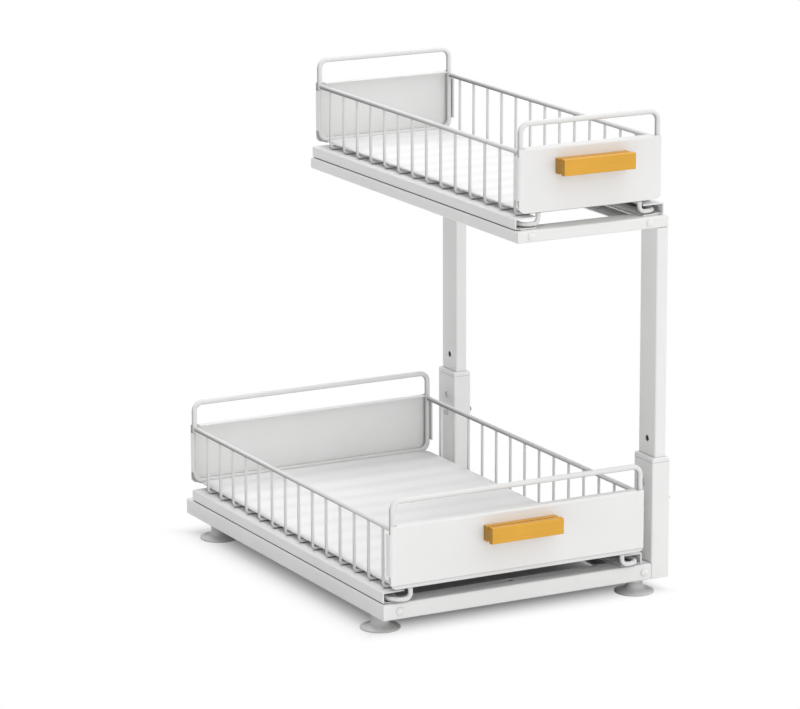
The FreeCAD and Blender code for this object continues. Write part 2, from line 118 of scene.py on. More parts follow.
class OrganizerColours(bpy.types.PropertyGroup):
    """Colours of the finishes."""
    white_coat: bpy.props.FloatVectorProperty(
        name="White coat", description="Powder coat of the sheet pieces",
        subtype="COLOR", default=(0.80, 0.80, 0.795))
    white_wire: bpy.props.FloatVectorProperty(
        name="White wire", description="Dipped coat of the wires",
        subtype="COLOR", default=(0.75, 0.75, 0.745))
    gold: bpy.props.FloatVectorProperty(
        name="Gold grip", description="Anodised grips",
        subtype="COLOR", default=(0.73, 0.385, 0.053))
    liner: bpy.props.FloatVectorProperty(
        name="Liner", description="Plastic floor sheet of the baskets",
        subtype="COLOR", default=(0.80, 0.805, 0.80))
    foot: bpy.props.FloatVectorProperty(
        name="Foot", description="Soft suction feet",
        subtype="COLOR", default=(0.61, 0.61, 0.605))
    collar: bpy.props.FloatVectorProperty(
        name="Collar", description="Plastic collars of the posts",
        subtype="COLOR", default=(0.80, 0.80, 0.80))
    steel: bpy.props.FloatVectorProperty(
        name="Fastener", description="Coated bolt heads and grip screws",
        subtype="COLOR", default=(0.60, 0.60, 0.595))
    nut: bpy.props.FloatVectorProperty(
        name="Cap nut", description="Bare steel of the cap nuts",
        subtype="COLOR", default=(0.15, 0.15, 0.148))


class OrganizerStudio(bpy.types.PropertyGroup):
    """Light and floor of the studio."""
    front_power: bpy.props.FloatProperty(
        name="Front softbox", description="Power of the front lamp", default=17.0, unit="POWER")
    top_power: bpy.props.FloatProperty(
        name="Top softbox", description="Power of the overhead lamp", default=44.0, unit="POWER")
    left_power: bpy.props.FloatProperty(
        name="Left softbox", description="Power of the low lamp on the left", default=4.0, unit="POWER")
    right_power: bpy.props.FloatProperty(
        name="Right softbox", description="Power of the lamp on the right", default=24.0, unit="POWER")
    back_power: bpy.props.FloatProperty(
        name="Back softbox", description="Power of the high lamp behind", default=44.0, unit="POWER")
    sky_bright: bpy.props.FloatProperty(
        name="Sky bright", description="Strength of the room light from the front, right and above",
        default=1.03)
    sky_dim: bpy.props.FloatProperty(
        name="Sky dim", description="Strength of the room light from the rear left", default=0.18)
    floor: bpy.props.FloatVectorProperty(
        name="Floor", description="Colour of the floor away from the frame",
        subtype="COLOR", default=(0.84, 0.84, 0.84))
    # The floor's colour is scaled down to this under the frame, a painted shade there.
    under: bpy.props.FloatProperty(
        name="Under", description="Part of the floor's colour left under the frame",
        default=0.42, subtype="FACTOR")
    shade_in: bpy.props.FloatProperty(
        name="Shade in", description="How far under the frame the floor reaches its full shade",
        default=0.065, unit="LENGTH")
    shade_out: bpy.props.FloatProperty(
        name="Shade out", description="How far outside the frame the floor is plain white",
        default=0.016, unit="LENGTH")


# Small tools for trees of nodes

def add(tree, kind, **settings):
    """New node with its settings."""
    made = tree.nodes.new(kind)
    for key, value in settings.items():
        setattr(made, key, value)
    return made


def give(tree, made, values):
    """Gives a node's inputs plain values or the outputs of other nodes."""
    for label, value in values.items():
        if isinstance(value, bpy.types.NodeSocket):
            tree.links.new(value, made.inputs[label])
        else:
            made.inputs[label].default_value = value


def node(tree, kind, values=None, output=0, **settings):
    """Output of a new node with its inputs and settings."""
    made = add(tree, kind, **settings)
    give(tree, made, values or {})
    return made.outputs[output]


def math_node(tree, operation, *values):
    """Result of one sum on numbers or outputs."""
    return node(tree, "ShaderNodeMath", dict(enumerate(values)), operation=operation)


def noise(tree, where, scale, detail, rough=0.5):
    """Soft random pattern from 0 to 1."""
    return node(tree, "ShaderNodeTexNoise", {
        "Vector": where, "Scale": scale, "Detail": detail, "Roughness": rough}, "Fac")


def span(tree, value, low, high, to_low, to_high):
    """Value's run from low to high as a run between two others, held at both ends."""
    return node(tree, "ShaderNodeMapRange", {
        "Value": value, "From Min": low, "From Max": high, "To Min": to_low, "To Max": to_high,
    }, "Result", clamp=True)


def scaled(tree, colour, value):
    """Colour times a value."""
    return node(tree, "ShaderNodeVectorMath", {0: colour, "Scale": value}, operation="SCALE")


def facing_way(tree, direction, way):
    """How far a direction points the given way."""
    return node(tree, "ShaderNodeVectorMath", {0: direction, 1: way}, "Value", operation="DOT_PRODUCT")


def object_place(tree):
    """Object coordinates of the piece."""
    return node(tree, "ShaderNodeTexCoord", output="Object")


def object_axis(tree, axis):
    """Object coordinate of the piece along one axis."""
    return node(tree, "ShaderNodeSeparateXYZ", {0: object_place(tree)}, axis)


# Shader groups

def new_group(name, *numbers, relief=False):
    """Group from a colour and named numbers to a colour, with roughness and height for a relief."""
    tree = bpy.data.node_groups.new(name, "ShaderNodeTree")
    sockets = tree.interface
    sockets.new_socket("Colour", in_out="INPUT", socket_type="NodeSocketColor")
    for label, value in numbers:
        socket = sockets.new_socket(label, in_out="INPUT", socket_type="NodeSocketFloat")
        socket.default_value = value
    sockets.new_socket("Colour", in_out="OUTPUT", socket_type="NodeSocketColor")
    for label in ("Roughness", "Height") if relief else ():
        sockets.new_socket(label, in_out="OUTPUT", socket_type="NodeSocketFloat")
    return tree, add(tree, "NodeGroupInput").outputs, add(tree, "NodeGroupOutput")


def coat_group():
    """Coat grain: a fine orange peel, slow changes of tone, and roughness that follows them."""
    tree, given, out = new_group(
        "coat_grain", ("Grain", 800.0), ("Roughness", 0.4), ("Mottle", 0.03), relief=True)
    patch_scale, patch_detail, patch_rough = 17.0, 3.0, 0.55
    peel_detail, peel_rough, peel_dull = 2.0, 0.45, 0.985
    low, high = 0.3, 0.7
    rougher, smoother = 0.07, -0.05
    where = object_place(tree)
    peel = noise(tree, where, given["Grain"], peel_detail, peel_rough)
    slow = noise(tree, where, patch_scale, patch_detail, patch_rough)
    patch_dull = math_node(tree, "SUBTRACT", 1.0, given["Mottle"])
    tone = span(tree, slow, low, high, patch_dull, 1.0)
    fine = span(tree, peel, low, high, peel_dull, 1.0)
    change = span(tree, slow, low, high, rougher, smoother)
    give(tree, out, {
        "Colour": scaled(tree, given["Colour"], math_node(tree, "MULTIPLY", tone, fine)),
        "Roughness": math_node(tree, "ADD", given["Roughness"], change),
        "Height": peel,
    })


def streak_group():
    """Brushed streaks along the grip's length, with a slow drift of tone."""
    tree, given, out = new_group("brushed_streaks", ("Roughness", 0.35), relief=True)
    drawn_out = (14.0, 1500.0, 1500.0)
    streak_detail, streak_rough = 3.0, 0.6
    streak_low, streak_high = 0.25, 0.75
    streak_dull, streak_bright = 0.93, 1.03
    drift_scale, drift_detail = 30.0, 2.0
    drift_low, drift_high = 0.3, 0.7
    drift_dull, drift_bright = 0.96, 1.02
    smoother, rougher = -0.05, 0.08
    where = object_place(tree)
    stretched = node(tree, "ShaderNodeMapping", {"Vector": where, "Scale": drawn_out})
    lines = noise(tree, stretched, 1.0, streak_detail, streak_rough)
    slow = noise(tree, where, drift_scale, drift_detail)
    streaks = span(tree, lines, streak_low, streak_high, streak_dull, streak_bright)
    drift = span(tree, slow, drift_low, drift_high, drift_dull, drift_bright)
    change = span(tree, lines, streak_low, streak_high, smoother, rougher)
    give(tree, out, {
        "Colour": scaled(tree, given["Colour"], math_node(tree, "MULTIPLY", streaks, drift)),
        "Roughness": math_node(tree, "ADD", given["Roughness"], change),
        "Height": lines,
    })


def painted_gap_shade_group():
    """Painted shade: darker tone in narrow gaps and where pieces meet, by how closed in each point is."""
    tree, given, out = new_group("painted_gap_shade", ("Reach", 0.0022), ("Deepest", 0.35))
    closed, open_air, rays = 0.1, 0.8, 8
    room = node(tree, "ShaderNodeAmbientOcclusion", {"Distance": given["Reach"]}, "AO", samples=rays)
    tone = span(tree, room, closed, open_air, given["Deepest"], 1.0)
    give(tree, out, {"Colour": scaled(tree, given["Colour"], tone)})


def painted_rib_shade_group():
    """Painted shade in soft bands at the pitch of the ribs pressed across the liner, a little uneven."""
    tree, given, out = new_group("painted_rib_shade", ("Pitch", 0.036), ("Depth", 0.06))
    uneven_scale, uneven_detail, uneven_turn = 12.0, 2.0, 2.4
    dull_at, bright_at = -0.9, 0.6
    turns = math_node(tree, "MULTIPLY", object_axis(tree, "Y"), math.tau)
    turns = math_node(tree, "DIVIDE", turns, given["Pitch"])
    uneven = noise(tree, object_place(tree), uneven_scale, uneven_detail)
    drift = math_node(tree, "MULTIPLY", uneven, uneven_turn)
    wave = math_node(tree, "SINE", math_node(tree, "ADD", turns, drift))
    shaded_tone = math_node(tree, "SUBTRACT", 1.0, given["Depth"])
    tone = span(tree, wave, dull_at, bright_at, shaded_tone, 1.0)
    give(tree, out, {"Colour": scaled(tree, given["Colour"], tone)})


def painted_hem_shade_group():
    """Painted shade: a dark line above a panel's turned lower edge, and a darker tone below it."""
    tree, given, out = new_group("painted_hem_shade", ("Crease", 0.0))
    line_core, line_edge, line_shade_tone = 0.0002, 0.0011, 0.80
    step, hem_shade_tone = 0.0004, 0.91
    above = math_node(tree, "SUBTRACT", object_axis(tree, "Z"), given["Crease"])
    line = span(tree, math_node(tree, "ABSOLUTE", above), line_core, line_edge, line_shade_tone, 1.0)
    below = span(tree, above, -step, step, hem_shade_tone, 1.0)
    tone = math_node(tree, "MULTIPLY", line, below)
    give(tree, out, {"Colour": scaled(tree, given["Colour"], tone)})


def painted_side_shade_group():
    """Painted shade: darker tone on the sides of a wire that face left, back and down, from the way each
    point faces.
    """
    tree, given, out = new_group("painted_side_shade", ("Depth", 0.3))
    shaded_way = (-0.52, 0.46, -0.72)
    starts, full = -0.05, 0.75
    faces = node(tree, "ShaderNodeAttribute", output="Vector", attribute_name="facing")
    shaded_tone = math_node(tree, "SUBTRACT", 1.0, given["Depth"])
    tone = span(tree, facing_way(tree, faces, shaded_way), starts, full, 1.0, shaded_tone)
    give(tree, out, {"Colour": scaled(tree, given["Colour"], tone)})


def painted_end_shade_group():
    """Painted shade: darker tone on the end faces of a grip."""
    tree, given, out = new_group("painted_end_shade", ("Middle", 0.0), ("Half", 0.04))
    end_depth, end_edge, end_shade_tone = 0.0001, 0.0003, 0.6
    along = math_node(tree, "SUBTRACT", object_axis(tree, "X"), given["Middle"])
    inside = math_node(tree, "SUBTRACT", given["Half"], math_node(tree, "ABSOLUTE", along))
    tone = span(tree, inside, end_depth, end_edge, end_shade_tone, 1.0)
    give(tree, out, {"Colour": scaled(tree, given["Colour"], tone)})


# Finishes

def new_finish(name, colour):
    """Tree and shader of a new finish."""
    material = bpy.data.materials.new(f"{name}_finish")
    material.use_nodes = True
    material.diffuse_color = (*colour, 1)
    return material.node_tree, material.node_tree.nodes["Principled BSDF"]


def finish_of(name):
    """Finish that was made under a name."""
    return bpy.data.materials[f"{name}_finish"]


def effect(tree, name, **values):
    """Places a shader group with its own values."""
    group = add(tree, "ShaderNodeGroup", node_tree=bpy.data.node_groups[name])
    give(tree, group, values)
    return group.outputs


def lead_in(tree, shader, tone, grain, painted_gap_tone, bump, depth, gloss):
    """Paints shade into a tone in narrow gaps and leads it into the shader, with its grain as relief."""
    give(tree, shader, {
        "Base Color": effect(tree, "painted_gap_shade", Colour=tone, Deepest=painted_gap_tone)["Colour"],
        "Roughness": grain["Roughness"],
        "Normal": node(tree, "ShaderNodeBump", {
            "Strength": bump, "Distance": depth, "Height": grain["Height"]}),
        "Specular IOR Level": gloss,
    })


def coated(name, colour, grain, rough, mottle, bump, gloss, painted_gap_tone, ribs=0.0, painted_hem_line=None, dip=0.0):
    """Coated finish: grain and painted gap shade, with painted shade bands at the ribs, a painted hem line
    and shade, or painted shade on one side of a wire where the piece has them.
    """
    peel_depth = 0.0002
    tree, shader = new_finish(name, colour)
    coat = effect(tree, "coat_grain", Colour=(*colour, 1), Grain=grain, Roughness=rough, Mottle=mottle)
    tone = coat["Colour"]
    # The ribs depth sets how dark the painted shade bands at the liner's ribs are.
    if ribs:
        pitch = bpy.context.scene.organizer_sizes.liner_pitch
        tone = effect(tree, "painted_rib_shade", Colour=tone, Pitch=pitch, Depth=ribs)["Colour"]
    # A panel with a turned lower edge gets a painted shade line and a darker tone below it.
    if painted_hem_line is not None:
        tone = effect(tree, "painted_hem_shade", Colour=tone, Crease=painted_hem_line)["Colour"]
    # The dip depth sets how dark the painted shade on the left, rear and lower sides of a wire is.
    if dip:
        tone = effect(tree, "painted_side_shade", Colour=tone, Depth=dip)["Colour"]
    lead_in(tree, shader, tone, coat, painted_gap_tone, bump, peel_depth, gloss)


def gold_finish(name, colour, middle, half):
    """Satin gold anodising with brushed streaks, and painted shade on its end faces."""
    satin, metal = 0.36, 0.35
    tree, shader = new_finish(name, colour)
    brushed = effect(tree, "brushed_streaks", Colour=(*colour, 1), Roughness=satin)
    # Painted shade on the grip's end faces.
    ends = effect(tree, "painted_end_shade", Colour=brushed["Colour"], Middle=middle, Half=half)
    lead_in(tree, shader, ends["Colour"], brushed, painted_gap_tone=0.3, bump=0.05, depth=0.0001, gloss=0.25)
    shader.inputs["Metallic"].default_value = metal


def make_finishes():
    """Shader groups, and the finishes that use them."""
    colours = bpy.context.scene.organizer_colours
    for make in (coat_group, streak_group, painted_gap_shade_group, painted_rib_shade_group, painted_hem_shade_group, painted_side_shade_group, painted_end_shade_group):
        make()
    powder = {"grain": 900.0, "rough": 0.42, "mottle": 0.03, "bump": 0.10, "gloss": 0.2}
    # The lower front panel's painted shade line lies this high above its bottom edge.
    turned_edge = 0.0035
    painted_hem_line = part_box("lower_basket_front_panel")[0].z + turned_edge
    # The white sheet finish paints deep shade into narrow gaps, such as the line under the rails; the white
    # panel finish paints only light gap shade.
    coated("white_sheet", colours.white_coat, **powder, painted_gap_tone=0.12)
    coated("white_panel", colours.white_coat, **powder, painted_gap_tone=0.8)
    coated("painted_hem_panel", colours.white_coat, **powder, painted_gap_tone=0.8, painted_hem_line=painted_hem_line)
    coated("white_wire", colours.white_wire,
           grain=700.0, rough=0.32, mottle=0.03, bump=0.06, gloss=0.0, painted_gap_tone=0.6, dip=0.62)
    coated("liner_plastic", colours.liner,
           grain=500.0, rough=0.50, mottle=0.03, bump=0.15, gloss=0.15, painted_gap_tone=0.7, ribs=0.05)
    coated("foot_rubber", colours.foot,
           grain=350.0, rough=0.55, mottle=0.06, bump=0.15, gloss=0.2, painted_gap_tone=0.6)
    coated("collar_plastic", colours.collar,
           grain=1200.0, rough=0.40, mottle=0.03, bump=0.08, gloss=0.2, painted_gap_tone=0.2)
    coated("fastener_steel", colours.steel,
           grain=1000.0, rough=0.42, mottle=0.05, bump=0.10, gloss=0.2, painted_gap_tone=0.4)
    coated("cap_nut", colours.nut,
           grain=1000.0, rough=0.42, mottle=0.08, bump=0.10, gloss=0.2, painted_gap_tone=0.6)
    for body in BASKETS:
        low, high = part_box(f"{body}_handle")
        gold_finish(f"{body}_grip", colours.gold, (low.x + high.x) / 2, (high.x - low.x) / 2)


# Geometry Nodes trees

def new_tree(name, *inputs):
    """Tree with its named inputs, the finish last."""
    tree = bpy.data.node_groups.new(name, "GeometryNodeTree")
    for label, kind in (("Geometry", "Geometry"), *inputs, ("Finish", "Material")):
        tree.interface.new_socket(label, in_out="INPUT", socket_type=f"NodeSocket{kind}")
    tree.interface.new_socket("Geometry", in_out="OUTPUT", socket_type="NodeSocketGeometry")
    return tree, add(tree, "NodeGroupInput").outputs, add(tree, "NodeGroupOutput")


def carried(tree, name, kind):
    """Value that each point of the start mesh carries under a name."""
    return node(tree, "GeometryNodeInputNamedAttribute", {"Name": name}, "Attribute", data_type=kind)


def smooth_within(tree, geometry, angle):
    """Smooth faces, with edges sharper than the angle kept sharp."""
    bend = node(tree, "GeometryNodeInputMeshEdgeAngle", output="Unsigned Angle")
    sharp = node(tree, "FunctionNodeCompare", {"A": bend, "B": angle}, "Result",
                 data_type="FLOAT", operation="GREATER_THAN")
    faces = node(tree, "GeometryNodeSetShadeSmooth", {
        "Geometry": geometry, "Shade Smooth": True}, domain="FACE")
    return node(tree, "GeometryNodeSetShadeSmooth", {
        "Geometry": faces, "Selection": sharp, "Shade Smooth": False}, domain="EDGE")


def end_tree(tree, given, out, geometry, spare=None):
    """Makes instances real, drops an attribute that has done its work, and sets the finish."""
    made = node(tree, "GeometryNodeRealizeInstances", {"Geometry": geometry})
    if spare:
        made = node(tree, "GeometryNodeRemoveAttribute", {"Geometry": made, "Name": spare})
    made = node(tree, "GeometryNodeSetMaterial", {"Geometry": made, "Material": given["Finish"]})
    give(tree, out, {"Geometry": made})


def wire_tree():
    """Round wire along a path, bent by each point's own radius and repeated in a row."""
    tree, given, out = new_tree(
        "bent_wire", ("Radius", "Float"), ("Sides", "Int"), ("Bend Steps", "Int"), ("Copies", "Int"),
        ("Pitch", "Vector"))
    line = node(tree, "GeometryNodeMeshToCurve", {"Mesh": given["Geometry"]})
    line = node(tree, "GeometryNodeFilletCurve", {
        "Curve": line, "Count": given["Bend Steps"], "Radius": carried(tree, "bend", "FLOAT"),
    }, mode="POLY")
    section = node(tree, "GeometryNodeCurvePrimitiveCircle", {
        "Resolution": given["Sides"], "Radius": given["Radius"]})
    rod = node(tree, "GeometryNodeCurveToMesh", {
        "Curve": line, "Profile Curve": section, "Fill Caps": True})
    # The way each point faces is kept for the painted shade on one side of the wire.
    rod = node(tree, "GeometryNodeStoreNamedAttribute", {
        "Geometry": rod, "Name": "facing",
        "Value": node(tree, "GeometryNodeInputNormal", output="Normal"),
    }, data_type="FLOAT_VECTOR", domain="POINT")
    row = node(tree, "GeometryNodeMeshLine", {
        "Count": given["Copies"], "Offset": given["Pitch"]}, mode="OFFSET")
    wires = node(tree, "GeometryNodeInstanceOnPoints", {
        "Points": row, "Instance": smooth_within(tree, rod, SHARP_WIRE)})
    end_tree(tree, given, out, wires, "bend")


def row_tree():
    """Repeats a made shape over a grid of places, turned round on the far side."""
    tree, given, out = new_tree(
        "set_in_rows", ("Columns", "Int"), ("Rows", "Int"), ("Width", "Float"), ("Depth", "Float"),
        ("Middle", "Vector"), ("Far Turn", "Float"))
    grid = node(tree, "GeometryNodeMeshGrid", {
        "Size X": given["Width"], "Size Y": given["Depth"],
        "Vertices X": given["Columns"], "Vertices Y": given["Rows"]})
    place = node(tree, "GeometryNodeInputPosition")
    behind = node(tree, "ShaderNodeSeparateXYZ", {0: place}, "Y")
    far = math_node(tree, "GREATER_THAN", behind, 0.0)
    turn = node(tree, "ShaderNodeCombineXYZ", {"Z": math_node(tree, "MULTIPLY", far, given["Far Turn"])})
    shapes = node(tree, "GeometryNodeInstanceOnPoints", {
        "Points": grid, "Instance": smooth_within(tree, given["Geometry"], SHARP_TURNED),
        "Rotation": turn})
    shapes = node(tree, "GeometryNodeTransform", {"Geometry": shapes, "Translation": given["Middle"]})
    end_tree(tree, given, out, shapes)


def bead_tree():
    """Weld bead at every point, flattened by the point's own size."""
    tree, given, out = new_tree("weld_beads", ("Radius", "Float"))
    bead = node(tree, "GeometryNodeMeshIcoSphere", {"Radius": given["Radius"], "Subdivisions": 2})
    beads = node(tree, "GeometryNodeInstanceOnPoints", {
        "Points": given["Geometry"], "Instance": smooth_within(tree, bead, SHARP_BEAD),
        "Scale": carried(tree, "size", "FLOAT_VECTOR")})
    end_tree(tree, given, out, beads, "size")
    return tree


def sheet_tree():
    """Shades a solid's folds smooth and coats it."""
    tree, given, out = new_tree("coated_solid")
    end_tree(tree, given, out, smooth_within(tree, given["Geometry"], SHARP_SHEET))
    return tree


# Making of pieces

def set_inputs(modifier, tree, values):
    """Gives a modifier its tree and the tree's inputs."""
    modifier.node_group = tree
    for item in tree.interface.items_tree:
        if item.in_out == "INPUT" and item.name in values:
            modifier[item.identifier] = values[item.name]


def grown(name, mesh, tree, **values):
    """Piece made by a tree from a start mesh, as a plain mesh at the origin."""
    piece = bpy.data.objects.new(name, mesh)
    bpy.context.scene.collection.objects.link(piece)
    modifier = piece.modifiers.new("Make", "NODES")
    set_inputs(modifier, tree, values)
    graph = bpy.context.evaluated_depsgraph_get()
    made = bpy.data.meshes.new_from_object(piece.evaluated_get(graph))
    piece.modifiers.remove(modifier)
    piece.data = made
    bpy.data.meshes.remove(mesh)
    made.name = name
    if not made.polygons:
        raise RuntimeError(f"{name} came out empty")
    made.materials.clear()
    made.materials.append(values["Finish"])
    made.polygons.foreach_set("material_index", [0] * len(made.polygons))
    return piece


def shell_piece(name, shell, finish):
    """Piece at the origin from a finished shell."""
    mesh = bpy.data.meshes.new(name)
    shell.to_mesh(mesh)
    shell.free()
    mesh.materials.append(finish)
    piece = bpy.data.objects.new(name, mesh)
    bpy.context.scene.collection.objects.link(piece)
    return piece


def joined(name, pieces):
    """Several made pieces of one finish as one mesh."""
    shell = bmesh.new()
    finish = pieces[0].data.materials[0]
    for piece in pieces:
        old = piece.data
        shell.from_mesh(old)
        bpy.data.objects.remove(piece)
        bpy.data.meshes.remove(old)
    return shell_piece(name, shell, finish)


def path_mesh(points, bends, closed=False):
    """Line through points that carry their bend radius."""
    mesh = bpy.data.meshes.new("path")
    count = len(points)
    edges = [(i, i + 1) for i in range(count - 1)]
    if closed:
        edges.append((count - 1, 0))
    mesh.from_pydata([Vector(p) for p in points], edges, [])
    bend = mesh.attributes.new("bend", "FLOAT", "POINT")
    bend.data.foreach_set("value", bends)
    return mesh


def wire(name, points, bends, diameter, sides, steps, copies=1, pitch=(0, 0, 0), closed=False):
    """White wire along points, repeated in a row."""
    return grown(
        name, path_mesh(points, bends, closed), bpy.data.node_groups["bent_wire"],
        **{
            "Radius": diameter / 2, "Sides": sides, "Bend Steps": steps, "Copies": copies,
            "Pitch": pitch, "Finish": finish_of("white_wire"),
        },
    )


def turned_mesh(profile, sides, axis="Z"):
    """Shape turned from (radius, height) pairs, as a mesh about the origin."""
    shell = bmesh.new()
    rings = []
    on_axis = 1e-7
    for radius, height in profile:
        if radius < on_axis:
            rings.append([shell.verts.new((0, 0, height))])
            continue
        angles = [math.tau * k / sides for k in range(sides)]
        rings.append([
            shell.verts.new((radius * math.cos(angle), radius * math.sin(angle), height)) for angle in angles
        ])
    for lower, upper in zip(rings, rings[1:]):
        for k in range(sides):
            n = (k + 1) % sides
            around = [
                lower[k % len(lower)], lower[n % len(lower)], upper[n % len(upper)], upper[k % len(upper)],
            ]
            shell.faces.new(list(dict.fromkeys(around)))
    if axis != "Z":
        turn = Matrix.Rotation(math.radians(90), 3, "X" if axis == "Y" else "Y")
        bmesh.ops.rotate(shell, matrix=turn, verts=shell.verts)
    bmesh.ops.recalc_face_normals(shell, faces=shell.faces)
    mesh = bpy.data.meshes.new("turned")
    shell.to_mesh(mesh)
    shell.free()
    return mesh


def in_rows(name, mesh, finish, depth, middle, columns=1, width=0.0, far_turn=0.0):
    """Made shape at the front and again behind, in one column or more."""
    return grown(
        name, mesh, bpy.data.node_groups["set_in_rows"],
        **{
            "Columns": columns, "Rows": 2, "Width": width, "Depth": depth, "Middle": middle,
            "Far Turn": far_turn, "Finish": finish_of(finish),
        },
    )


def coat_of(name):
    """Finish of a solid that stays in sight, by what it is."""
    # Panels, posts and front bars take a finish with lighter painted gap shade than the other sheet pieces.
    for word, finish in (
        ("handle_screws", "fastener_steel"), ("foot_bolts", "fastener_steel"),
        ("lower_basket_handle", "lower_basket_grip"), ("upper_basket_handle", "upper_basket_grip"),
        ("collar", "collar_plastic"), ("lower_basket_front_panel", "painted_hem_panel"),
        ("panel", "white_panel"), ("post", "white_panel"), ("front_bar", "white_panel"),
    ):
        if word in name:
            return finish
    return "white_sheet"


def settle(piece, body, slot, *stands_for):
    """Piece rides on its body and stands for its solids."""
    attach(piece, body)
    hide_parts(*stands_for)


# Operators

class ORGANIZER_OT_wires(bpy.types.Operator):
    """Bend the loops, top, floor, cross and runner wires of both baskets"""
    bl_idname = "organizer.wires"
    bl_label = "Basket wires"

    def execute(self, context):
        sizes = context.scene.organizer_sizes
        wire_tree()
        for body in BASKETS:
            # End loops
            r = sizes.loop_wire / 2
            low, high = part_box(f"{body}_front_loop")
            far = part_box(f"{body}_rear_loop")[0].y - low.y
            y = (low.y + high.y) / 2
            x0, x1, z0, z1 = low.x + r, high.x - r, low.z + r, high.z - r
            corners = [(x0, y, z0), (x1, y, z0), (x1, y, z1), (x0, y, z1)]
            loops = wire(f"{body}_loops", corners, [sizes.loop_bend] * 4, sizes.loop_wire,
                         LOOP_SIDES, LOOP_STEPS, copies=2, pitch=(0, far, 0), closed=True)
            settle(loops, body, "white_wire", f"{body}_front_loop", f"{body}_rear_loop")

            # Straight wires
            low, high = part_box(f"{body}_left_top_wire")
            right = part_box(f"{body}_right_top_wire")[0].x - low.x
            x, z = (low.x + high.x) / 2, (low.z + high.z) / 2
            tops = wire("tops", [(x, low.y, z), (x, high.y, z)], [0, 0], sizes.top_wire,
                        TOP_SIDES, STRAIGHT_STEPS, copies=2, pitch=(right, 0, 0))
            low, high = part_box(f"{body}_floor_wires")
            r = sizes.floor_wire / 2
            x, z = low.x + r, (low.z + high.z) / 2
            floors = wire("floors", [(x, low.y, z), (x, high.y, z)], [0, 0], sizes.floor_wire,
                          FLOOR_SIDES, STRAIGHT_STEPS, copies=2, pitch=(high.x - low.x - 2 * r, 0, 0))
            straights = joined(f"{body}_straight_wires", [tops, floors])
            settle(straights, body, "white_wire", f"{body}_left_top_wire", f"{body}_right_top_wire",
                   f"{body}_floor_wires")

            # Cross wires
            r = sizes.cross_wire / 2
            low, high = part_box(f"{body}_cross_wires")
            pitch = (high.y - low.y - 2 * r) / (sizes.cross_count - 1)
            x0, x1, y, z = low.x + r, high.x - r, low.y + r, low.z + r
            bow = [(x0, y, high.z), (x0, y, z), (x1, y, z), (x1, y, high.z)]
            bends = [0, sizes.cross_bend, sizes.cross_bend, 0]
            bows = wire(f"{body}_bows", bow, bends, sizes.cross_wire,
                        CROSS_SIDES, CROSS_STEPS, copies=sizes.cross_count, pitch=(0, pitch, 0))
            settle(bows, body, "white_wire", f"{body}_cross_wires")

            # Runners
            r = sizes.runner_wire / 2
            sides = []
            for word in ("left", "right"):
                low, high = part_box(f"{body}_{word}_runner")
                line, leg = (low.x + r, high.x - r) if word == "left" else (high.x - r, low.x + r)
                y0, y1, z = low.y + r, high.y - r, low.z + r
                points = [
                    (leg, y0, high.z), (leg, y0, z), (line, y0, z),
                    (line, y1, z), (leg, y1, z), (leg, y1, high.z),
                ]
                bends = [0, sizes.runner_rise, sizes.runner_turn, sizes.runner_turn, sizes.runner_rise, 0]
                sides.append(wire(word, points, bends, sizes.runner_wire, RUNNER_SIDES, RUNNER_STEPS))
            runners = joined(f"{body}_runners", sides)
            settle(runners, body, "white_wire", f"{body}_left_runner", f"{body}_right_runner")
        return {"FINISHED"}


class ORGANIZER_OT_welds(bpy.types.Operator):
    """Weld beads where the wires of the baskets meet"""
    bl_idname = "organizer.welds"
    bl_label = "Weld beads"

    def execute(self, context):
        sizes = context.scene.organizer_sizes
        tree = bead_tree()
        # Radius of a bead, and its share of that along each axis at each kind of joint
        bead = 0.0024
        under_top, under_floor = (0.62, 0.95, 0.62), (0.62, 0.72, 0.30)
        top_end, floor_end = (1.12, 0.7, 1.12), (0.66, 0.5, 0.62)
        above_bottom, inside_end = 0.0002, 0.0004
        for body in BASKETS:
            low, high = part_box(f"{body}_cross_wires")
            r = sizes.cross_wire / 2
            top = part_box(f"{body}_left_top_wire")
            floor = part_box(f"{body}_floor_wires")
            sides = (low.x + r, high.x - r)
            floors = (floor[0].x + sizes.floor_wire / 2, floor[1].x - sizes.floor_wire / 2)
            points, scales = [], []
            pitch = (high.y - low.y - 2 * r) / (sizes.cross_count - 1)
            for k in range(sizes.cross_count):
                y = low.y + r + k * pitch
                for lines, z, scale in (
                    (sides, top[0].z + above_bottom, under_top), (floors, floor[0].z, under_floor),
                ):
                    for x in lines:
                        points.append((x, y, z))
                        scales.append(scale)
            for lines, held, scale in ((sides, top, top_end), (floors, floor, floor_end)):
                for x in lines:
                    for y in (held[0].y + inside_end, held[1].y - inside_end):
                        points.append((x, y, (held[0].z + held[1].z) / 2))
                        scales.append(scale)
            mesh = bpy.data.meshes.new("bead_places")
            mesh.from_pydata(points, [], [])
            size = mesh.attributes.new("size", "FLOAT_VECTOR", "POINT")
            size.data.foreach_set("vector", [v for scale in scales for v in scale])
            beads = grown(f"{body}_weld_beads", mesh, tree, Radius=bead, Finish=finish_of("white_wire"))
            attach(beads, body)
        return {"FINISHED"}


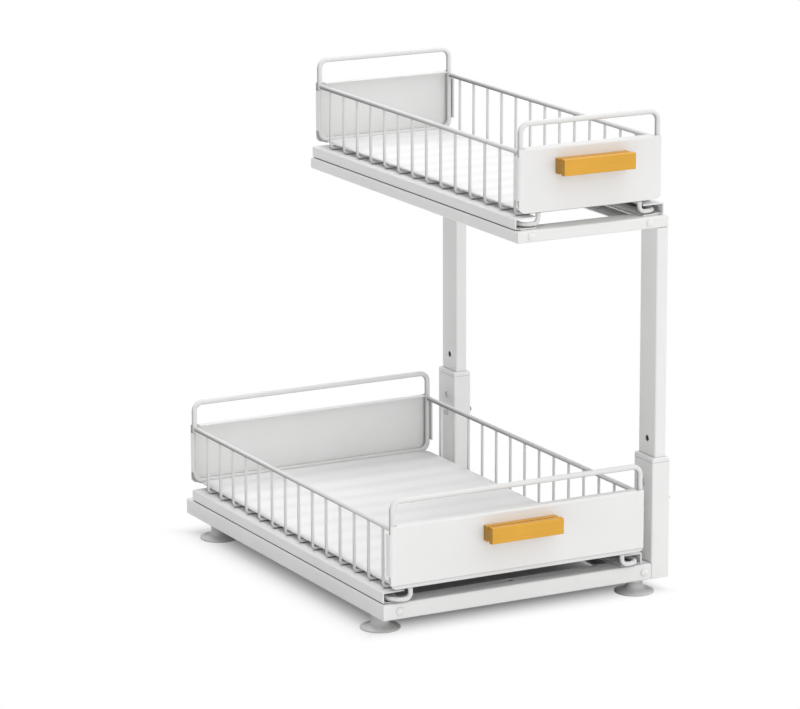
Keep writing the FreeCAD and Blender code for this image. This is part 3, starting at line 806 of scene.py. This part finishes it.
class ORGANIZER_OT_feet(bpy.types.Operator):
    """Four soft suction feet with a thin lip and a ribbed stem"""
    bl_idname = "organizer.feet"
    bl_label = "Suction feet"

    def execute(self, context):
        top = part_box("foot_front_left")[1].z
        around = 56
        # Hollow underside, lip, bell, grooved stem and rounded top, as radius and height
        profile = [
            (0.0, 0.0030), (0.0045, 0.0029), (0.010, 0.0023), (0.0155, 0.0012), (0.0186, 0.0002),
            (0.0191, 0.0), (0.0196, 0.0001), (0.01985, 0.0005), (0.0199, 0.0010), (0.0197, 0.0015),
            (0.0191, 0.0019), (0.0172, 0.0025), (0.0148, 0.0031), (0.0122, 0.0038), (0.0104, 0.0046),
            (0.0092, 0.0056), (0.0086, 0.0068), (0.0084, 0.0082), (0.0084, 0.0098), (0.0080, 0.0101),
            (0.0080, 0.0107), (0.0084, 0.0110), (0.0084, 0.0138), (0.0083, top - 0.0007),
            (0.0079, top - 0.00015), (0.0074, top), (0.0, top),
        ]
        pairs = []
        for side in ("left", "right"):
            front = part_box(f"foot_front_{side}")
            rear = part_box(f"foot_rear_{side}")
            middle = (front[0] + rear[1]) / 2
            pairs.append(in_rows(side, turned_mesh(profile, around), "foot_rubber",
                                 rear[0].y - front[0].y, (middle.x, middle.y, 0)))
        feet = joined("suction_feet", pairs)
        settle(feet, "frame", "foot_rubber",
               "foot_front_left", "foot_rear_left", "foot_front_right", "foot_rear_right")
        return {"FINISHED"}


class ORGANIZER_OT_fasteners(bpy.types.Operator):
    """Dome screws of both frames, and the bolts and cap nuts of the posts"""
    bl_idname = "organizer.fasteners"
    bl_label = "Fasteners"

    def execute(self, context):
        around, nut_corners, nut_around = 36, 6, 32

        # Dome screws, heads on the outer faces of the front and rear bars
        head_r, head_h, play = 0.0042, 0.0022, 0.0001
        dome = [
            (0.0, head_h), (0.0008, 0.00218), (0.0017, 0.00205), (0.0026, 0.00175), (0.0034, 0.00128),
            (0.0039, 0.00082), (0.00415, 0.00042), (head_r, 0.00012), (0.00412, 0.0), (0.0, 0.0),
        ]
        for name in ("base", "upper"):
            low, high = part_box(f"{name}_screws")
            front, rear = low.y + head_h, high.y - head_h
            heads = in_rows(
                f"{name}_dome_screws", turned_mesh(dome, around, "Y"), "white_sheet", rear - front,
                ((low.x + high.x) / 2, (front + rear) / 2, (low.z + high.z) / 2),
                columns=2, width=high.x - low.x - 2 * head_r - play, far_turn=math.pi)
            settle(heads, "frame", "fastener_steel", f"{name}_screws")

        # Mushroom bolts through the posts, heads on the baskets' side
        low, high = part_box("post_bolts")
        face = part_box("front_outer_post")[0].x
        tall, length = face - low.x, high.x - face
        mushroom_r, shank_r = 0.00368, 0.0024
        mushroom = [
            (0.0, -tall), (0.0009, -tall * 0.985), (0.0019, -tall * 0.9), (0.0027, -tall * 0.72),
            (0.0033, -tall * 0.46), (mushroom_r, -tall * 0.18), (mushroom_r, 0.0), (shank_r, 0.0),
            (shank_r, length), (0.0, length),
        ]
        middle = (low + high) / 2
        bolts = in_rows(
            "post_mushroom_bolts", turned_mesh(mushroom, around, "X"), "fastener_steel",
            high.y - low.y - 2 * mushroom_r, (face, middle.y, middle.z))
        settle(bolts, "frame", "fastener_steel", "post_bolts")

        # Cap nuts on the outer side
        low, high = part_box("post_cap_nuts")
        middle = (low + high) / 2
        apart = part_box("rear_outer_post")[0].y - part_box("front_outer_post")[0].y
        tall = high.x - low.x
        hexagon = [
            (0.0, 0.0), (0.0040, 0.0), (0.00438, 0.0003), (0.00438, 0.0041), (0.0040, 0.0045), (0.0, 0.0045),
        ]
        cap = [
            (0.0036, 0.0044), (0.0036, tall * 0.66), (0.0035, tall * 0.75), (0.0031, tall * 0.85),
            (0.0024, tall * 0.93), (0.0014, tall * 0.98), (0.0, tall),
        ]
        halves = [
            in_rows(f"nut_{count}", turned_mesh(profile, count, "X"), "cap_nut", apart,
                    (low.x, middle.y, middle.z))
            for profile, count in ((hexagon, nut_corners), (cap, nut_around))
        ]
        nuts = joined("post_nuts", halves)
        settle(nuts, "frame", "fastener_steel", "post_cap_nuts")
        return {"FINISHED"}


class ORGANIZER_OT_skirts(bpy.types.Operator):
    """Lower ends of the collars' sleeves, seen through the spare holes of the posts"""
    bl_idname = "organizer.skirts"
    bl_label = "Collar skirts"

    def execute(self, context):
        play, wall, reach, corner = 0.00135, 0.0005, 0.0125, 0.0012
        shell = bmesh.new()
        for word in ("front", "rear"):
            low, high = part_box(f"{word}_outer_post")
            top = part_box(f"{word}_post_collar")[0].z
            bottom, inner = top - reach, play + wall
            rings = []
            for inset, z in ((play, bottom), (play, top), (inner, top), (inner, bottom)):
                x0, x1, y0, y1 = low.x + inset, high.x - inset, low.y + inset, high.y - inset
                outline = (
                    (x0 + corner, y0), (x1 - corner, y0), (x1, y0 + corner), (x1, y1 - corner),
                    (x1 - corner, y1), (x0 + corner, y1), (x0, y1 - corner), (x0, y0 + corner),
                )
                rings.append([shell.verts.new((x, y, z)) for x, y in outline])
            for ring, after in zip(rings, rings[1:] + rings[:1]):
                for k in range(len(ring)):
                    n = (k + 1) % len(ring)
                    shell.faces.new((ring[k], ring[n], after[n], after[k]))
        bmesh.ops.recalc_face_normals(shell, faces=shell.faces)
        skirts = shell_piece("post_collar_skirts", shell, finish_of("collar_plastic"))
        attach(skirts, "frame")
        return {"FINISHED"}


class ORGANIZER_OT_liners(bpy.types.Operator):
    """Thin plastic floor sheets with soft ribs pressed across them"""
    bl_idname = "organizer.liners"
    bl_label = "Floor liners"

    def execute(self, context):
        sizes = context.scene.organizer_sizes
        columns, rows = 28, 196
        corner, flat_rim = 0.008, 0.012
        for body in BASKETS:
            low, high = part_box(f"{body}_liner")
            shell = bmesh.new()
            grid = []
            for j in range(rows + 1):
                y = low.y + (high.y - low.y) * j / rows
                into = max(0.0, corner - min(y - low.y, high.y - y))
                trim = corner - math.sqrt(max(0.0, corner * corner - into * into))
                turn = math.tau * (y - low.y) / sizes.liner_pitch
                dip = sizes.liner_wave * (0.5 - 0.5 * math.cos(turn))
                line = []
                for i in range(columns + 1):
                    x = low.x + trim + (high.x - low.x - 2 * trim) * i / columns
                    near = min(1.0, min(x - low.x, high.x - x, y - low.y, high.y - y) / flat_rim)
                    line.append(shell.verts.new((x, y, high.z - dip * near)))
                grid.append(line)
            for lower, upper in zip(grid, grid[1:]):
                for i in range(columns):
                    shell.faces.new((lower[i], lower[i + 1], upper[i + 1], upper[i]))
            sheet = shell_piece(f"{body}_floor_sheet", shell, finish_of("liner_plastic"))
            sheet.data.shade_smooth()
            wall = sheet.modifiers.new("Wall", "SOLIDIFY")
            wall.thickness = high.z - low.z
            wall.offset = -1.0
            settle(sheet, body, "liner_plastic", f"{body}_liner")
        return {"FINISHED"}


class ORGANIZER_OT_coat(bpy.types.Operator):
    """Soften the edges of the remaining solids and give them their finish"""
    bl_idname = "organizer.coat"
    bl_label = "Coats of the solids"

    def execute(self, context):
        sizes = context.scene.organizer_sizes
        tree = sheet_tree()
        same_point, fold, collar_share = 1e-6, math.radians(50), 2.0
        for name, solid in nodes.items():
            if solid.hide_render:
                continue
            finish = finish_of(coat_of(name))
            solid.data.materials.clear()
            solid.data.materials.append(finish)
            weld = solid.modifiers.new("Join", "WELD")
            weld.merge_threshold = same_point
            bevel = solid.modifiers.new("Soften", "BEVEL")
            bevel.width = sizes.edge_soften * (collar_share if "collar" in name else 1.0)
            bevel.segments = 2
            bevel.limit_method = "ANGLE"
            bevel.angle_limit = fold
            bevel.harden_normals = False
            shade = solid.modifiers.new("Shade", "NODES")
            set_inputs(shade, tree, {"Finish": finish})
            level = solid.modifiers.new("Level", "WEIGHTED_NORMAL")
            level.keep_sharp = True
        return {"FINISHED"}


def background_rays(tree):
    """One where the background is seen, mirrored or seen through glass, and nought for its light."""
    seen = add(tree, "ShaderNodeLightPath").outputs
    shown = math_node(tree, "MAXIMUM", seen["Is Camera Ray"], seen["Is Glossy Ray"])
    return math_node(tree, "MAXIMUM", shown, seen["Is Transmission Ray"])


def floor_finish(studio):
    """Pale floor that keeps the shadow near the object, with painted shade under the frame, and runs out to
    plain white.
    """
    left_room, right_room, right_steep = 0.02, 0.006, 2.0
    painted_shade_in, painted_shade_out, least_white = 0.035, 0.03, 0.02
    material = bpy.data.materials.new("studio_floor")
    material.use_nodes = True
    tree = material.node_tree
    tree.nodes.clear()

    # How far a place on the floor is outside the frame, on the side where it is furthest out
    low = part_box("base_left_beam")[0]
    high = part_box("rear_outer_post")[1]
    across = object_axis(tree, "X")
    past_left = math_node(tree, "SUBTRACT", low.x - left_room, across)
    past_right = math_node(tree, "SUBTRACT", across, high.x + right_room)
    past_right = math_node(tree, "MULTIPLY", past_right, right_steep)
    past_ends = math_node(tree, "SUBTRACT", object_axis(tree, "Y"), (low.y + high.y) / 2)
    past_ends = math_node(tree, "ABSOLUTE", past_ends)
    past_ends = math_node(tree, "SUBTRACT", past_ends, (high.y - low.y) / 2)
    reach = math_node(tree, "MAXIMUM", past_left, past_right)
    reach = math_node(tree, "MAXIMUM", reach, past_ends)

    white = span(tree, reach, -studio.shade_in, studio.shade_out, least_white, 1.0)
    white.node.interpolation_type = "SMOOTHSTEP"
    # Painted shade: the floor's own colour is darker under the frame and just round it.
    painted_floor_shade = span(tree, reach, -painted_shade_in, painted_shade_out, studio.under, 1.0)
    mixed = node(tree, "ShaderNodeMixShader", {
        "Fac": math_node(tree, "MULTIPLY", white, background_rays(tree)),
        1: node(tree, "ShaderNodeBsdfDiffuse", {"Color": scaled(tree, studio.floor, painted_floor_shade)}),
        2: node(tree, "ShaderNodeEmission"),
    })
    give(tree, add(tree, "ShaderNodeOutputMaterial"), {"Surface": mixed})
    return material


def light_room(scene, studio):
    """White surroundings for what is seen and mirrored, softer for the light."""
    bright_way = (0.36, -0.62, 0.70)
    dim_at, bright_at = -0.5, 0.95
    world = bpy.data.worlds.new("studio")
    world.use_nodes = True
    scene.world = world
    tree = world.node_tree
    way = facing_way(tree, node(tree, "ShaderNodeTexCoord", output="Generated"), bright_way)
    room = span(tree, way, dim_at, bright_at, studio.sky_dim, studio.sky_bright)
    give(tree, tree.nodes["Background"], {
        "Color": (1, 1, 1, 1),
        "Strength": span(tree, background_rays(tree), 0.0, 1.0, room, 1.0),
    })


def hang_lamps(scene, studio):
    """Round softboxes that face the object, each with its place, size and power."""
    aim_at = Vector((0, 0, 0.2))
    for name, place, size, power in (
        ("front_softbox", (0.2, -4.0, 0.8), 1.4, studio.front_power),
        ("top_softbox", (0.0, -0.4, 4.0), 3.0, studio.top_power),
        ("left_softbox", (-3.6, -1.2, 0.6), 1.2, studio.left_power),
        ("right_softbox", (4.0, -0.2, 1.6), 2.4, studio.right_power),
        ("back_softbox", (0.3, 2.6, 3.2), 2.0, studio.back_power),
    ):
        lamp = bpy.data.lights.new(name, "AREA")
        lamp.shape = "DISK"
        lamp.size = size
        lamp.energy = power
        holder = bpy.data.objects.new(name, lamp)
        scene.collection.objects.link(holder)
        holder.location = place
        aim = aim_at - Vector(place)
        holder.rotation_euler = aim.to_track_quat("-Z", "Y").to_euler()


def set_camera(scene):
    """Camera at the viewing angle of the photograph."""
    lens = bpy.data.cameras.new("camera")
    lens.sensor_fit = "HORIZONTAL"
    lens.sensor_width = SENSOR_WIDTH
    lens.lens = SENSOR_WIDTH * FOCAL_PIXELS / PICTURE_WIDTH
    lens.clip_start = NEAR_CLIP
    lens.clip_end = FAR_CLIP
    camera = bpy.data.objects.new("camera", lens)
    scene.collection.objects.link(camera)
    right = Vector(CAMERA_RIGHT).normalized()
    back = Vector(CAMERA_BACK).normalized()
    up = back.cross(right).normalized()
    right = up.cross(back)
    turn = Matrix((right, up, back)).transposed().to_4x4()
    camera.matrix_world = Matrix.Translation(CAMERA_PLACE) @ turn
    scene.camera = camera


class ORGANIZER_OT_stage(bpy.types.Operator):
    """Floor, light and camera of the studio"""
    bl_idname = "organizer.stage"
    bl_label = "Studio"

    def execute(self, context):
        scene = context.scene
        studio = scene.organizer_studio
        scene.view_settings.view_transform = "Standard"
        floor_sides, floor_radius, floor_drop = 96, 9.0, 0.0002
        shell = bmesh.new()
        bmesh.ops.create_circle(shell, cap_ends=True, segments=floor_sides, radius=floor_radius)
        floor = shell_piece("studio_floor", shell, floor_finish(studio))
        floor.location.z = -floor_drop
        light_room(scene, studio)
        hang_lamps(scene, studio)
        set_camera(scene)
        return {"FINISHED"}


class ORGANIZER_PT_build(bpy.types.Panel):
    """Lists the steps that finish the organizer"""
    bl_label = "Under sink organizer"
    bl_space_type = "VIEW_3D"
    bl_region_type = "UI"
    bl_category = "Organizer"

    def draw(self, context):
        for step in STEPS:
            self.layout.operator(step.bl_idname)
        for name, group in GROUPS.items():
            for key in group.__annotations__:
                self.layout.prop(getattr(context.scene, name), key)


GROUPS = {
    "organizer_sizes": OrganizerSizes,
    "organizer_colours": OrganizerColours,
    "organizer_studio": OrganizerStudio,
}
STEPS = (
    ORGANIZER_OT_wires, ORGANIZER_OT_welds, ORGANIZER_OT_feet, ORGANIZER_OT_fasteners, ORGANIZER_OT_skirts,
    ORGANIZER_OT_liners, ORGANIZER_OT_coat, ORGANIZER_OT_stage,
)
CLASSES = (*GROUPS.values(), *STEPS, ORGANIZER_PT_build)


def register():
    for made in CLASSES:
        bpy.utils.register_class(made)
    for name, group in GROUPS.items():
        setattr(bpy.types.Scene, name, bpy.props.PointerProperty(type=group))


def unregister():
    for name in GROUPS:
        delattr(bpy.types.Scene, name)
    for made in reversed(CLASSES):
        bpy.utils.unregister_class(made)


def main():
    register()
    make_finishes()
    row_tree()
    bpy.ops.organizer.wires()
    bpy.ops.organizer.welds()
    bpy.ops.organizer.feet()
    bpy.ops.organizer.fasteners()
    bpy.ops.organizer.skirts()
    bpy.ops.organizer.liners()
    bpy.ops.organizer.coat()
    bpy.ops.organizer.stage()


if __name__ == "__main__":
    main()
